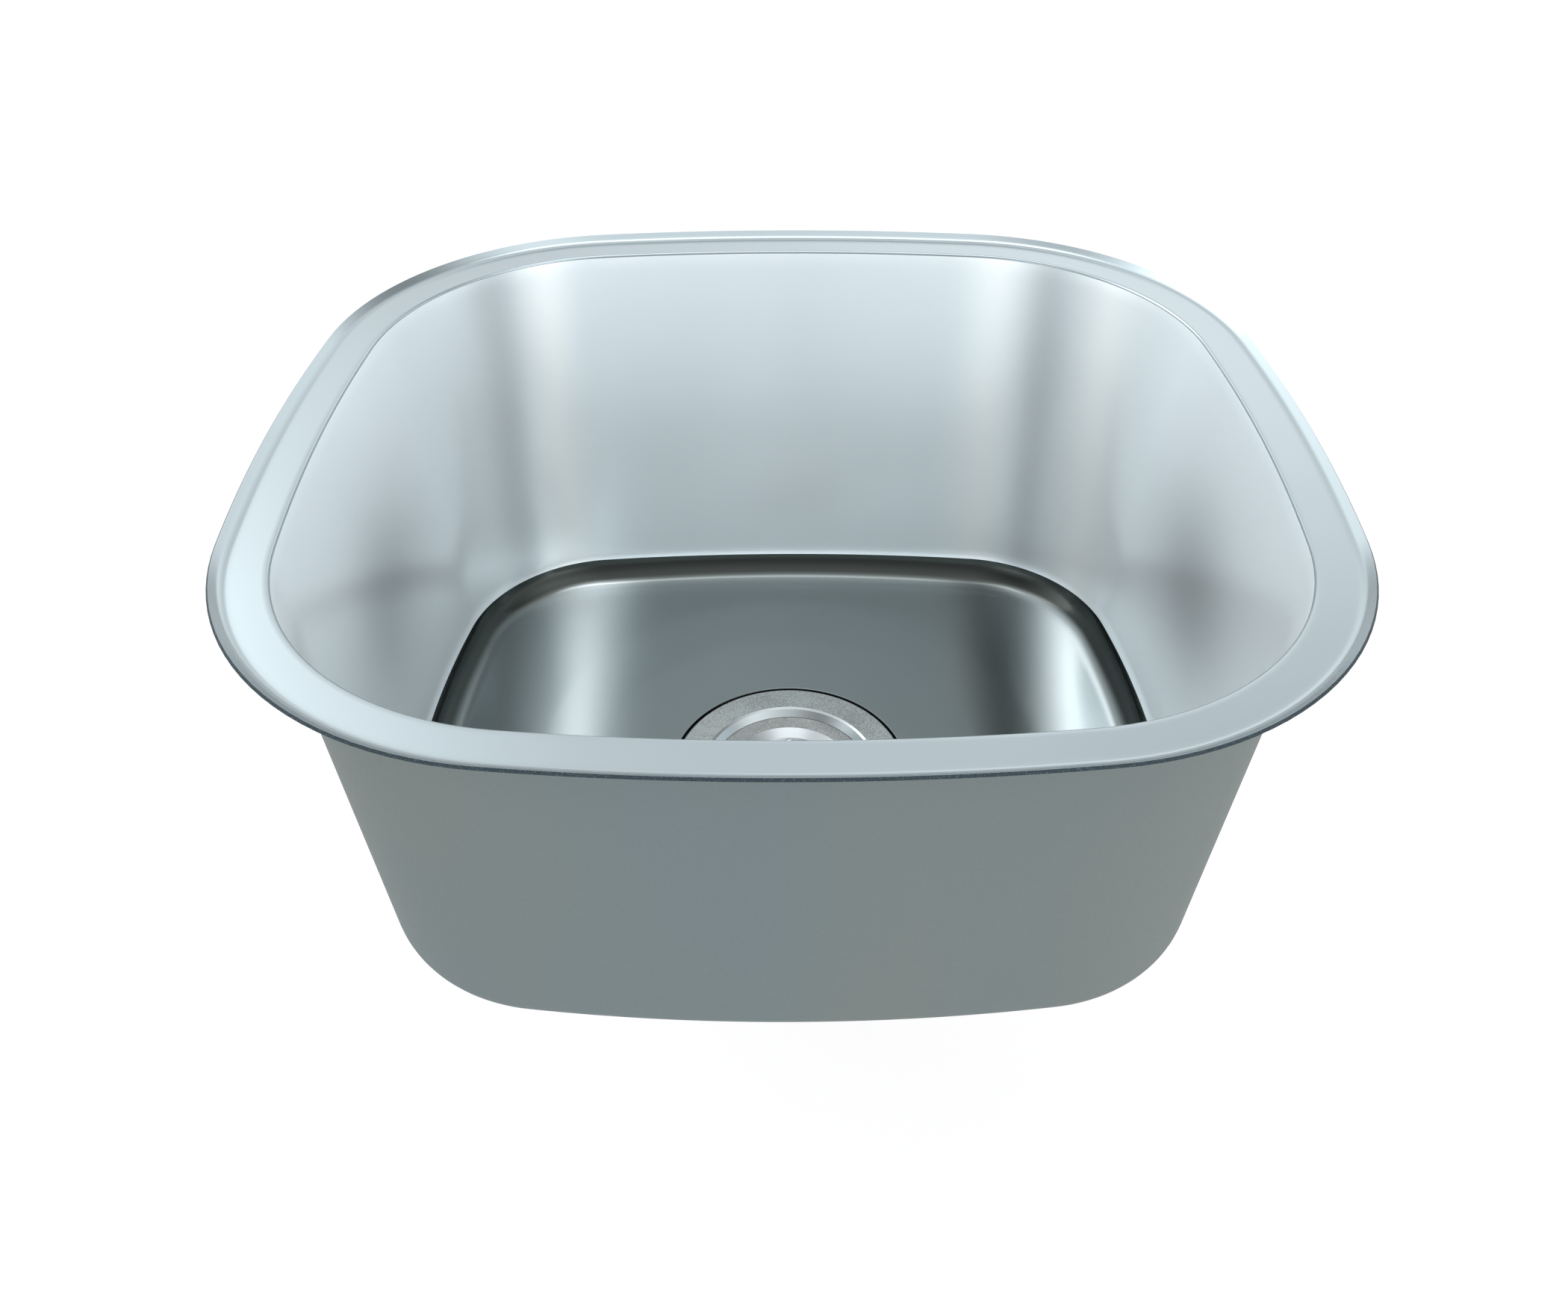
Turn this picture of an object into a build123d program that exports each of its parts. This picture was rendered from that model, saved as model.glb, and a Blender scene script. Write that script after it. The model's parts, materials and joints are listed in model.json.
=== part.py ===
"""An undermount kitchen sink: a drawn steel bowl with its basket strainer and tailpiece.

Millimetres. +X is to the right and +Y to the rear of the bowl, +Z is up. The drain's axis is
the Z axis, and z = 0 is the lower end of the tailpiece.
"""

import math
import os

from build123d import *

os.makedirs("parts", exist_ok=True)

# ---------------------------------------------------------------- driving dimensions

# Bowl: a drawn sheet with a flat flange, a raised outer lip and tapered walls.
sheet = 1.2
rim_half_width = 210.0
rim_half_depth = 198.0
rim_side_radius = 850.0
rim_end_radius = 860.0
rim_corner_radius = 126.0
rim_width = 19.5
lip_rise = 3.0
lip_run = 3.5
lip_blend_radius = 5.0
opening_radius = 1.2
bowl_depth = 187.0
floor_half_width = 178.0
floor_half_depth = 157.0
floor_side_radius = 500.0
floor_end_radius = 880.0
floor_corner_radius = 72.0
floor_fillet = 18.0

# Floor round the drain.
fall_radius = 126.0
fall_mid_radius = 94.0
fall_mid_drop = 1.6
floor_fall = 4.6
recess_radius = 62.0
recess_slope_run = 2.5
recess_depth = 2.4
drain_hole_radius = 44.5

# Strainer body: flange, cone, ledge for the basket, threaded cup and outlet.
flange_radius = 57.0
flange_thickness = 1.3
flange_edge_slope = 1.0
flange_mouth_radius = 42.0
mouth_roll = 1.2
cone_drop = 4.4
ledge_radius = 38.9
ledge_width = 1.3
body_neck_radius = 43.4
body_thread_radius = 40.4
body_thread_length = 20.0
body_wall = 2.0
body_depth = 43.5
body_cup_taper = 1.1
body_floor_fall = 3.0
body_bottom_radius = 10.0
seat_outer_radius = 27.0
seat_thickness = 2.5
outlet_radius = 19.0
outlet_thread_radius = 23.6
outlet_length = 15.0

# Seals and nuts round the strainer body.
flange_seal_thickness = 0.9
flange_seal_width = 10.0
seal_setback = 0.5
gasket_thickness = 3.0
gasket_outer_radius = 56.0
friction_thickness = 1.0
friction_outer_radius = 54.0
lock_nut_radius = 52.0
lock_nut_height = 9.0
lock_nut_lug_count = 6
lock_nut_lug_width = 16.0
lock_nut_lug_length = 5.0
lock_nut_lug_rounding = 1.5
nut_fit = 0.2
washer_fit = 0.4

# Outlet cross.
cross_height = 2.0
cross_drop = 9.0
cross_ring_width = 1.6
cross_spoke_width = 3.0
cross_spoke_count = 4
cross_hub_radius = 4.5

# Tailpiece, its washer and its nut.
tailpiece_length = 102.0
tailpiece_radius = 19.05
tailpiece_wall = 1.2
tailpiece_neck_radius = 19.4
tailpiece_neck_length = 9.0
tailpiece_neck_swage = 1.5
tailpiece_flange_thickness = 2.0
tailpiece_flange_radius = 22.8
tail_washer_thickness = 2.0
coupling_nut_flats = 54.0
coupling_nut_grip = 11.0
coupling_nut_lip = 2.5
coupling_nut_chamfer = 2.0

# Basket.
basket_sheet = 0.8
basket_fit = 0.3
basket_rim_thickness = 1.2
basket_step_radius = 32.0
basket_step_drop = 1.0
basket_mouth_radius = 26.5
basket_mouth_drop = 3.0
basket_lip_width = 1.2
cup_top_radius = 24.6
cup_top_drop = 1.2
cup_bottom_radius = 21.0
cup_fold_radius = 3.0
slot_count = 16
slot_width = 2.6
slot_length = 9.0
slot_drop = 8.2
floor_hole_radius = 1.6
floor_hole_ring_radius = 14.5
floor_hole_count = 12
floor_hole_inner_radius = 10.0
floor_hole_inner_count = 6

# Post, bush, stopper and knob.
post_radius = 2.5
post_running_fit = 0.05
bush_barrel_radius = 4.6
bush_flange_radius = 7.0
bush_flange_thickness = 1.4
bush_height = 4.2
bush_collar_radius = 6.2
bush_collar_thickness = 1.0
post_collar_radius = 3.6
post_collar_height = 1.0
detent_ring_width = 1.1
detent_ring_height = 1.8
detent_gap = 1.6
detent_groove_depth = 0.35
stopper_travel = 9.0
stopper_travel_spare = 0.5
seal_radius = 24.4
seal_thickness = 5.0
seal_edge_radius = 1.6
seal_lip_depth = 1.2
seal_plug_fit = 0.5
plate_radius = 19.5
plate_thickness = 1.2
post_nut_flats = 9.0
post_nut_height = 4.0
post_tip_length = 1.0
post_reach = 18.0
knob_height = 20.0
knob_foot_radius = 4.4
knob_waist_radius = 3.2
knob_bead_radius = 6.0
knob_bead_height = 8.0
knob_neck_height = 13.0
knob_tip_radius = 2.3
knob_tip_flat = 0.3
knob_edge_rounding = 1.2
knob_socket_depth = 10.0
knob_fit = 0.02

# Sound pads under the floor.
pad_thickness = 3.0
side_pad_width = 44.0
side_pad_length = 96.0
side_pad_centre = 87.0
end_pad_width = 104.0
end_pad_length = 38.0
end_pad_centre = 84.0
pad_corner_radius = 8.0

# ---------------------------------------------------------------- heights, from the tailpiece up

z_tail_flange = tailpiece_length - tailpiece_flange_thickness
z_tail_neck = z_tail_flange - tailpiece_neck_length
z_outlet_end = tailpiece_length + tail_washer_thickness
z_seat = z_outlet_end + outlet_length + seat_thickness
z_flange_top = z_seat + body_depth
z_flange_under = z_flange_top - flange_thickness
z_recess = z_flange_under - flange_seal_thickness
z_fall_end = z_recess + recess_depth
z_floor = z_fall_end + floor_fall
z_lip = z_floor + bowl_depth
z_rim = z_lip - lip_rise
z_ledge = z_flange_top - cone_drop
z_gasket = z_recess - sheet - gasket_thickness
z_friction = z_gasket - friction_thickness
z_lock_nut = z_friction - lock_nut_height

z_rim_face = z_ledge + basket_rim_thickness
z_step = z_rim_face - basket_step_drop
z_mouth = z_rim_face - basket_mouth_drop

z_seal_top = z_seat + seal_thickness
z_plate_top = z_seal_top + plate_thickness
z_bush_foot = z_plate_top + post_collar_height + stopper_travel + stopper_travel_spare
z_cup_floor = z_bush_foot + bush_flange_thickness + basket_sheet
z_bush_top = z_cup_floor + bush_height
z_ring = z_bush_top - detent_ring_height
z_post_nut = z_seat - seal_lip_depth - post_nut_height
z_post_tip = z_post_nut - post_tip_length
z_knob = z_bush_top + post_reach
z_knob_top = z_knob + knob_height
z_cross = z_seat - cross_drop


# ---------------------------------------------------------------- shared outlines and helpers


def bowed_outline(half_width, half_depth, side_radius, end_radius, corner_radius, grow=0.0):
    """A rectangle whose four sides bow outward, with large rounded corners, grown by grow all round."""
    half_width += grow
    half_depth += grow
    side_radius += grow
    end_radius += grow
    # The arcs' centres are on the axes; the corner is where the two circles cross.
    side_centre = half_width - side_radius
    end_centre = half_depth - end_radius
    apart = math.hypot(side_centre, end_centre)
    along = (side_radius**2 - end_radius**2 + apart**2) / (2 * apart)
    across = math.sqrt(side_radius**2 - along**2)
    x = side_centre - (along * side_centre + across * end_centre) / apart
    y = (along * end_centre - across * side_centre) / apart
    with BuildSketch() as outline:
        with BuildLine():
            ThreePointArc((-x, -y), (0, -half_depth), (x, -y))
            ThreePointArc((x, -y), (half_width, 0), (x, y))
            ThreePointArc((x, y), (0, half_depth), (-x, y))
            ThreePointArc((-x, y), (-half_width, 0), (-x, -y))
        make_face()
        fillet(outline.vertices(), corner_radius + grow)
    return outline.sketch


def rim_outline(grow):
    """The rim's outer top edge, grown by grow all round."""
    return bowed_outline(
        rim_half_width, rim_half_depth, rim_side_radius, rim_end_radius, rim_corner_radius, grow
    )


def floor_outline(grow):
    """The outline where the walls would meet the floor, grown by grow all round."""
    return bowed_outline(
        floor_half_width, floor_half_depth, floor_side_radius, floor_end_radius, floor_corner_radius, grow
    )


def finish(piece, name):
    """Labels a piece and writes it to its own file."""
    piece.part.label = name
    export_step(piece.part, f"parts/{name}.step")


def turned_solid(*corners):
    """A solid turned about the drain's axis; a corner is (radius, height) or (radius, height, rounding)."""
    with BuildPart() as piece:
        with BuildSketch(Plane.XZ):
            with BuildLine():
                places = [corner[:2] for corner in corners]
                roundings = [corner[2] if len(corner) > 2 else 0 for corner in corners]
                FilletPolyline(*places, radius=roundings, close=True)
            make_face()
        revolve(axis=Axis.Z)
    return piece


def ring(name, inner_radius, outer_radius, low, high):
    """A flat ring round the drain's axis, written to its own file."""
    piece = turned_solid((inner_radius, low), (outer_radius, low), (outer_radius, high), (inner_radius, high))
    finish(piece, name)


# ---------------------------------------------------------------- sink bowl

# The floor falls to the drain in two easy slopes, then steps down into the recess.
fall_start = (fall_radius, z_floor)
fall_mid = (fall_mid_radius, z_floor - fall_mid_drop)
recess_corner = (recess_radius, z_fall_end)
recess_foot = (recess_radius - recess_slope_run, z_recess)


def lowered(point, drop):
    """A point (radius, height) moved down by drop."""
    return (point[0], point[1] - drop)


def dished_sheet(drop, thickness, *face):
    """The turned section of a sheet whose upper face lies a drop below the given points."""
    above = [lowered(point, drop) for point in face]
    below = [lowered(point, drop + thickness) for point in reversed(face)]
    with BuildSketch(Plane.XZ) as section:
        with BuildLine():
            Polyline(*above, *below, close=True)
        make_face()
    return section.sketch


# The space inside the bowl: a drafted block between the opening and the floor, rounded below.
with BuildPart() as bowl_space:
    with BuildSketch(Plane.XY.offset(z_rim)):
        add(rim_outline(-rim_width))
    with BuildSketch(Plane.XY.offset(z_floor)):
        add(floor_outline(0))
    loft(ruled=True)
    fillet(bowl_space.edges().group_by(Axis.Z)[0], floor_fillet)

# The space above the flange, inside the lip that turns up round it.
with BuildPart() as flange_space:
    with BuildSketch(Plane.XY.offset(z_rim)):
        add(rim_outline(-lip_run))
    with BuildSketch(Plane.XY.offset(z_lip)):
        add(rim_outline(0))
    loft(ruled=True)
    fillet(flange_space.edges().group_by(Axis.Z)[0], lip_blend_radius)

# The lip's underside runs one sheet below its face, and the cut edge of the sheet closes it.
lip_slope = math.hypot(lip_run, lip_rise)
edge_out = sheet * lip_rise / lip_slope
edge_drop = sheet * lip_run / lip_slope
underside_in = (lip_rise + sheet - edge_drop) * lip_run / lip_rise - edge_out

with BuildPart() as sink_bowl:
    # The drafted block again, one sheet larger all round.
    with BuildSketch(Plane.XY.offset(z_rim - sheet)):
        add(rim_outline(sheet - rim_width))
    with BuildSketch(Plane.XY.offset(z_floor - sheet)):
        add(floor_outline(sheet))
    loft(ruled=True)
    fillet(sink_bowl.edges().group_by(Axis.Z)[0], floor_fillet + sheet)

    # The flange and its lip, as a plate that flares to the cut edge.
    with BuildSketch(Plane.XY.offset(z_rim - sheet)):
        add(rim_outline(-underside_in))
    with BuildSketch(Plane.XY.offset(z_lip - edge_drop)):
        add(rim_outline(edge_out))
    loft(ruled=True)
    with BuildSketch(Plane.XY.offset(z_lip - edge_drop)):
        add(rim_outline(edge_out))
    with BuildSketch(Plane.XY.offset(z_lip)):
        add(rim_outline(0))
    loft(ruled=True)

    add(flange_space.part, mode=Mode.SUBTRACT)
    add(bowl_space.part, mode=Mode.SUBTRACT)

    # The sheet rolls over the edge of the opening.
    flange_face = sink_bowl.faces().filter_by(Plane.XY).sort_by(Axis.Z)[-1]
    fillet(flange_face.inner_wires()[0].edges(), opening_radius)

    # The level floor inside the fall circle gives way to the dished sheet.
    with BuildSketch(Plane.XY.offset(z_floor - sheet)):
        Circle(fall_radius)
    extrude(amount=sheet, mode=Mode.SUBTRACT)
    drain_edge = (drain_hole_radius, z_recess)
    floor_section = dished_sheet(0, sheet, fall_start, fall_mid, recess_corner, recess_foot, drain_edge)
    revolve(floor_section, axis=Axis.Z)

finish(sink_bowl, "sink_bowl")

# ---------------------------------------------------------------- strainer body

cup_radius = ledge_radius - ledge_width
cup_foot_radius = cup_radius - body_cup_taper
strainer_body = turned_solid(
    (flange_radius, z_flange_under),
    (flange_radius, z_flange_top - flange_thickness / 2),
    (flange_radius - flange_edge_slope, z_flange_top),
    (flange_mouth_radius + mouth_roll, z_flange_top),
    (flange_mouth_radius, z_flange_top - mouth_roll / 2),
    (ledge_radius, z_rim_face),
    (ledge_radius, z_ledge),
    (cup_radius, z_ledge),
    (cup_foot_radius, z_seat + body_floor_fall, body_bottom_radius),
    (seat_outer_radius, z_seat),
    (outlet_radius, z_seat),
    (outlet_radius, z_outlet_end),
    (outlet_thread_radius, z_outlet_end),
    (outlet_thread_radius, z_seat - seat_thickness),
    (cup_foot_radius + body_wall, z_seat + body_floor_fall - seat_thickness, body_bottom_radius),
    (cup_foot_radius + body_wall, z_gasket - body_thread_length),
    (body_thread_radius, z_gasket - body_thread_length),
    (body_thread_radius, z_gasket),
    (body_neck_radius, z_gasket),
    (body_neck_radius, z_flange_under),
)
finish(strainer_body, "strainer_body")

# Seals on both sides of the sink floor, and the fibre ring under them.
seal_inner_radius = drain_hole_radius + seal_setback
ring("flange_seal", seal_inner_radius, seal_inner_radius + flange_seal_width, z_recess, z_flange_under)
ring("floor_gasket", body_neck_radius + washer_fit, gasket_outer_radius, z_gasket, z_recess - sheet)
ring("friction_washer", body_thread_radius + washer_fit, friction_outer_radius, z_friction, z_gasket)

with BuildPart() as lock_nut:
    with BuildSketch(Plane.XY.offset(z_lock_nut)):
        Circle(lock_nut_radius)
        with PolarLocations(lock_nut_radius, lock_nut_lug_count):
            Rectangle(2 * lock_nut_lug_length, lock_nut_lug_width)
        Circle(body_thread_radius + nut_fit, mode=Mode.SUBTRACT)
    extrude(amount=lock_nut_height)
    fillet(lock_nut.edges().filter_by(Axis.Z).group_by(SortBy.DISTANCE)[-1], lock_nut_lug_rounding)
finish(lock_nut, "lock_nut")

# ---------------------------------------------------------------- outlet, washer, nut and tailpiece

with BuildPart() as outlet_cross:
    with BuildSketch(Plane.XY.offset(z_cross)):
        Circle(outlet_radius)
        Circle(outlet_radius - cross_ring_width, mode=Mode.SUBTRACT)
        Circle(cross_hub_radius)
        with PolarLocations(outlet_radius / 2, cross_spoke_count):
            Rectangle(outlet_radius - cross_ring_width / 2, cross_spoke_width)
    extrude(amount=-cross_height)
finish(outlet_cross, "outlet_cross")

tailpiece_bore = tailpiece_radius - tailpiece_wall
ring("tailpiece_washer", tailpiece_bore, tailpiece_flange_radius, tailpiece_length, z_outlet_end)

# The tube's neck is swaged out a little, which centres the nut on it; the straight wall below
# the neck is what a trap's slip joint takes.
tailpiece = turned_solid(
    (tailpiece_bore, 0),
    (tailpiece_radius, 0),
    (tailpiece_radius, z_tail_neck - tailpiece_neck_swage),
    (tailpiece_neck_radius, z_tail_neck),
    (tailpiece_neck_radius, z_tail_flange),
    (tailpiece_flange_radius, z_tail_flange),
    (tailpiece_flange_radius, tailpiece_length),
    (tailpiece_bore, tailpiece_length),
)
finish(tailpiece, "tailpiece")

with BuildPart() as coupling_nut:
    z_nut = z_tail_flange - coupling_nut_lip
    z_nut_top = z_outlet_end + coupling_nut_grip
    with BuildSketch(Plane.XY.offset(z_nut)):
        RegularPolygon(coupling_nut_flats / 2, 6, major_radius=False)
    extrude(amount=z_nut_top - z_nut)
    # A turned cone takes the nut's corners off above and below.
    face_radius = coupling_nut_flats / 2 - nut_fit
    with BuildSketch(Plane.XZ):
        with BuildLine():
            Polyline(
                (0, z_nut),
                (face_radius, z_nut),
                (face_radius + 2 * coupling_nut_chamfer, z_nut + coupling_nut_chamfer),
                (face_radius + 2 * coupling_nut_chamfer, z_nut_top - coupling_nut_chamfer),
                (face_radius, z_nut_top),
                (0, z_nut_top),
                close=True,
            )
        make_face()
    revolve(axis=Axis.Z, mode=Mode.INTERSECT)
    with BuildSketch(Plane.XY.offset(z_tail_flange)):
        Circle(outlet_thread_radius + nut_fit)
    extrude(amount=z_nut_top - z_tail_flange, mode=Mode.SUBTRACT)
    with BuildSketch(Plane.XY.offset(z_nut)):
        Circle(tailpiece_neck_radius + washer_fit)
    extrude(amount=coupling_nut_lip, mode=Mode.SUBTRACT)
finish(coupling_nut, "coupling_nut")

# ---------------------------------------------------------------- basket

basket_radius = ledge_radius - basket_fit
basket_shell = turned_solid(
    (basket_radius, z_ledge),
    (basket_radius, z_rim_face),
    (basket_step_radius, z_step),
    (basket_mouth_radius, z_mouth),
    (cup_top_radius, z_mouth - cup_top_drop),
    (cup_bottom_radius, z_cup_floor, cup_fold_radius),
    (bush_barrel_radius, z_cup_floor),
    (bush_barrel_radius, z_cup_floor - basket_sheet),
    (cup_bottom_radius + basket_sheet, z_cup_floor - basket_sheet, cup_fold_radius + basket_sheet),
    (cup_top_radius + basket_sheet, z_mouth - cup_top_drop - basket_sheet / 2),
    (basket_mouth_radius + basket_sheet / 2, z_mouth - basket_sheet),
    (basket_step_radius, z_step - basket_sheet),
    (basket_radius - basket_lip_width, z_rim_face - basket_sheet - basket_sheet / 4),
    (basket_radius - basket_lip_width, z_ledge),
)
with BuildPart() as slot_cutter:
    with BuildSketch(Plane.YZ):
        with Locations((0, z_mouth - slot_drop)):
            SlotOverall(slot_length, slot_width, rotation=90)
    extrude(amount=basket_step_radius)

with BuildPart() as basket_cup:
    add(basket_shell.part)
    with PolarLocations(0, slot_count):
        add(slot_cutter.part, mode=Mode.SUBTRACT)
    with BuildSketch(Plane.XY.offset(z_cup_floor - basket_sheet)):
        with PolarLocations(floor_hole_ring_radius, floor_hole_count):
            Circle(floor_hole_radius)
        with PolarLocations(floor_hole_inner_radius, floor_hole_inner_count):
            Circle(floor_hole_radius)
    extrude(amount=basket_sheet, mode=Mode.SUBTRACT)
finish(basket_cup, "basket_cup")

post_bore = post_radius + post_running_fit
ring_seat_radius = post_bore + detent_ring_width
post_bushing = turned_solid(
    (post_bore, z_bush_foot),
    (bush_flange_radius, z_bush_foot),
    (bush_flange_radius, z_cup_floor - basket_sheet),
    (bush_barrel_radius, z_cup_floor - basket_sheet),
    (bush_barrel_radius, z_cup_floor),
    (bush_collar_radius, z_cup_floor),
    (bush_collar_radius, z_cup_floor + bush_collar_thickness),
    (bush_barrel_radius, z_cup_floor + bush_collar_thickness),
    (bush_barrel_radius, z_bush_top),
    (ring_seat_radius, z_bush_top),
    (ring_seat_radius, z_ring),
    (post_bore, z_ring),
)
finish(post_bushing, "post_bushing")

with BuildPart() as detent_ring:
    with BuildSketch(Plane.XY.offset(z_ring)):
        Circle(ring_seat_radius)
        Circle(post_bore, mode=Mode.SUBTRACT)
        with Locations((ring_seat_radius, 0)):
            Rectangle(2 * ring_seat_radius, detent_gap, mode=Mode.SUBTRACT)
    extrude(amount=detent_ring_height)
finish(detent_ring, "detent_ring")

# ---------------------------------------------------------------- stopper, post and knob

# The post's two grooves face the spring ring when the stopper is closed and when it is open.
groove_half = detent_ring_height / 2
z_open_groove = z_ring + groove_half - stopper_travel
z_closed_groove = z_ring + groove_half
post_waist = post_radius - detent_groove_depth
stopper_post = turned_solid(
    (0, z_post_tip),
    (post_radius, z_post_tip),
    (post_radius, z_plate_top),
    (post_collar_radius, z_plate_top),
    (post_collar_radius, z_plate_top + post_collar_height),
    (post_radius, z_plate_top + post_collar_height),
    (post_radius, z_open_groove - groove_half),
    (post_waist, z_open_groove),
    (post_radius, z_open_groove + groove_half),
    (post_radius, z_closed_groove - groove_half),
    (post_waist, z_closed_groove),
    (post_radius, z_closed_groove + groove_half),
    (post_radius, z_knob + knob_socket_depth),
    (0, z_knob + knob_socket_depth),
)
finish(stopper_post, "stopper_post")

on_post = post_radius + knob_fit
pull_knob = turned_solid(
    (on_post, z_knob),
    (knob_foot_radius, z_knob),
    (knob_waist_radius, z_knob + knob_bead_height / 2),
    (knob_bead_radius, z_knob + knob_bead_height, knob_edge_rounding),
    (knob_tip_radius, z_knob + knob_neck_height),
    (knob_tip_radius, z_knob_top, knob_tip_radius - knob_tip_flat),
    (0, z_knob_top),
    (0, z_knob + knob_socket_depth),
    (on_post, z_knob + knob_socket_depth),
)
finish(pull_knob, "pull_knob")

ring("stopper_plate", on_post, plate_radius, z_seal_top, z_plate_top)

stopper_seal = turned_solid(
    (on_post, z_seat - seal_lip_depth),
    (outlet_radius - seal_plug_fit, z_seat - seal_lip_depth),
    (outlet_radius - seal_plug_fit, z_seat),
    (seal_radius, z_seat),
    (seal_radius, z_seal_top, seal_edge_radius),
    (on_post, z_seal_top),
)
finish(stopper_seal, "stopper_seal")

with BuildPart() as post_nut:
    with BuildSketch(Plane.XY.offset(z_post_nut)):
        RegularPolygon(post_nut_flats / 2, 6, major_radius=False)
        Circle(on_post, mode=Mode.SUBTRACT)
    extrude(amount=post_nut_height)
finish(post_nut, "post_nut")

# ---------------------------------------------------------------- sound pads under the floor


def sound_pad(name, centre, width, length):
    """A rubber pad that follows the dished underside of the floor."""
    with BuildPart() as pad:
        revolve(dished_sheet(sheet, pad_thickness, fall_start, fall_mid, recess_corner), axis=Axis.Z)
        with BuildSketch():
            with Locations(centre):
                RectangleRounded(width, length, pad_corner_radius)
        extrude(amount=z_floor, mode=Mode.INTERSECT)
    finish(pad, name)


sound_pad("sound_pad_left", (-side_pad_centre, 0), side_pad_width, side_pad_length)
sound_pad("sound_pad_right", (side_pad_centre, 0), side_pad_width, side_pad_length)
sound_pad("sound_pad_front", (0, -end_pad_centre), end_pad_width, end_pad_length)
sound_pad("sound_pad_rear", (0, end_pad_centre), end_pad_width, end_pad_length)
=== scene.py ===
# %% [markdown]
# # A drawn steel kitchen sink with its basket strainer
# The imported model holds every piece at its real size. This script gives the pieces their looks: a clean
# bowl surface that reflects well, brushed and sprayed finishes, screw threads, and soft studio light.
# It is written in cells: each step says what the thing is on the real sink before the code makes it.

import json
import math

import bpy
import numpy as np
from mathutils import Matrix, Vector


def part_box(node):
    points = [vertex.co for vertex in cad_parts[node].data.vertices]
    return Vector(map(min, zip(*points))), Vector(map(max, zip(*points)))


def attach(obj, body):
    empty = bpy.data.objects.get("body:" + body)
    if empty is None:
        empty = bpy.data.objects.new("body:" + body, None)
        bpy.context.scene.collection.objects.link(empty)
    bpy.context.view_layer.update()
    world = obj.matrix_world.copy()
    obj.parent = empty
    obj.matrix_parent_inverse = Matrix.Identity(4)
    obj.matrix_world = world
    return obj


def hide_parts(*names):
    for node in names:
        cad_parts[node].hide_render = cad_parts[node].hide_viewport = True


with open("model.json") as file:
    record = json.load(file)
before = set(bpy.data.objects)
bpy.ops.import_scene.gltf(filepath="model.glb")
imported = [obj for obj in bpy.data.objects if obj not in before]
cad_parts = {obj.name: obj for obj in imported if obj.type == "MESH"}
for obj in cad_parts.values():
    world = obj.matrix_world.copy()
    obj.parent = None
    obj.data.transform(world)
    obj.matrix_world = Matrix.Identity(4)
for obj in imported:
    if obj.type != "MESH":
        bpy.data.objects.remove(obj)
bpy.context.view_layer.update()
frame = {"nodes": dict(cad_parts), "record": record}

# %% [markdown]
# ## Where things are
# The drain's axis is the Z axis, and the bowl's lip is the highest thing in the model. Heights could be
# typed in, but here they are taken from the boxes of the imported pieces, so the looks stay in step with the
# model. A sink is drawn in millimetres and Blender counts in metres, so MM turns one into the other.

# %% Heights
MM = 0.001
LIP_RISE = 3.0

z_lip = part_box("sink_bowl")[1].z / MM
z_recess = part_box("flange_seal")[0].z / MM
z_rim = z_lip - LIP_RISE
print("the lip is at", round(z_lip, 2), "mm and the drain recess at", round(z_recess, 2), "mm")

# %% [markdown]
# ## The camera
# The photograph looks down into the bowl from the front, at about forty degrees. A camera could be placed
# by eye. This one's place was worked out from the outlines of the rim and of the strainer's rings, which
# are curves of known size, so that the model stands in the picture where the real sink does.

# %% Camera
CAMERA_FROM_LIP = Vector((-4.86, -473.72, 279.42)) * MM
CAMERA_TILT = math.radians(50.13)
CAMERA_TURN = math.radians(-0.27)
CAMERA_NEAR = 0.01
FOCAL_LENGTH = 30.857
SENSOR_WIDTH = 36.0

camera_data = bpy.data.cameras.new("photo_camera")
camera_data.sensor_width = SENSOR_WIDTH
camera_data.lens = FOCAL_LENGTH
camera_data.clip_start = CAMERA_NEAR
camera = bpy.data.objects.new("photo_camera", camera_data)
camera.location = Vector((0, 0, z_lip * MM)) + CAMERA_FROM_LIP
camera.rotation_euler = (CAMERA_TILT, 0, CAMERA_TURN)
bpy.context.scene.collection.objects.link(camera)
bpy.context.scene.camera = camera
print("camera at", [round(v, 3) for v in camera.location])

# %% [markdown]
# ## Writing shaders as sums
# A material is a small program of linked nodes. Linking them one by one is long to write and hard to read.
# So one class wraps a node's socket and lets Python's own signs add the Math nodes, and `1 - mask * 0.5`
# is written as it reads.


# %% A socket that can be added and multiplied
class Socket:
    """A value in a node tree. Arithmetic on it adds Math nodes."""

    def __init__(self, tree, socket):
        self.tree = tree
        self.socket = socket

    def __add__(self, other):
        return self.tree.math("ADD", self, other)

    def __sub__(self, other):
        return self.tree.math("SUBTRACT", self, other)

    def __rsub__(self, other):
        return self.tree.math("SUBTRACT", other, self)

    def __mul__(self, other):
        return self.tree.math("MULTIPLY", self, other)

    __radd__ = __add__
    __rmul__ = __mul__


print("sockets take +, - and *")

# %% [markdown]
# ## A node tree
# Every other node comes from one method, which takes the node's type, its settings, and the values or links
# of its sockets. The methods after it are the few turns of phrase that the finishes below are written in.


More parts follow.
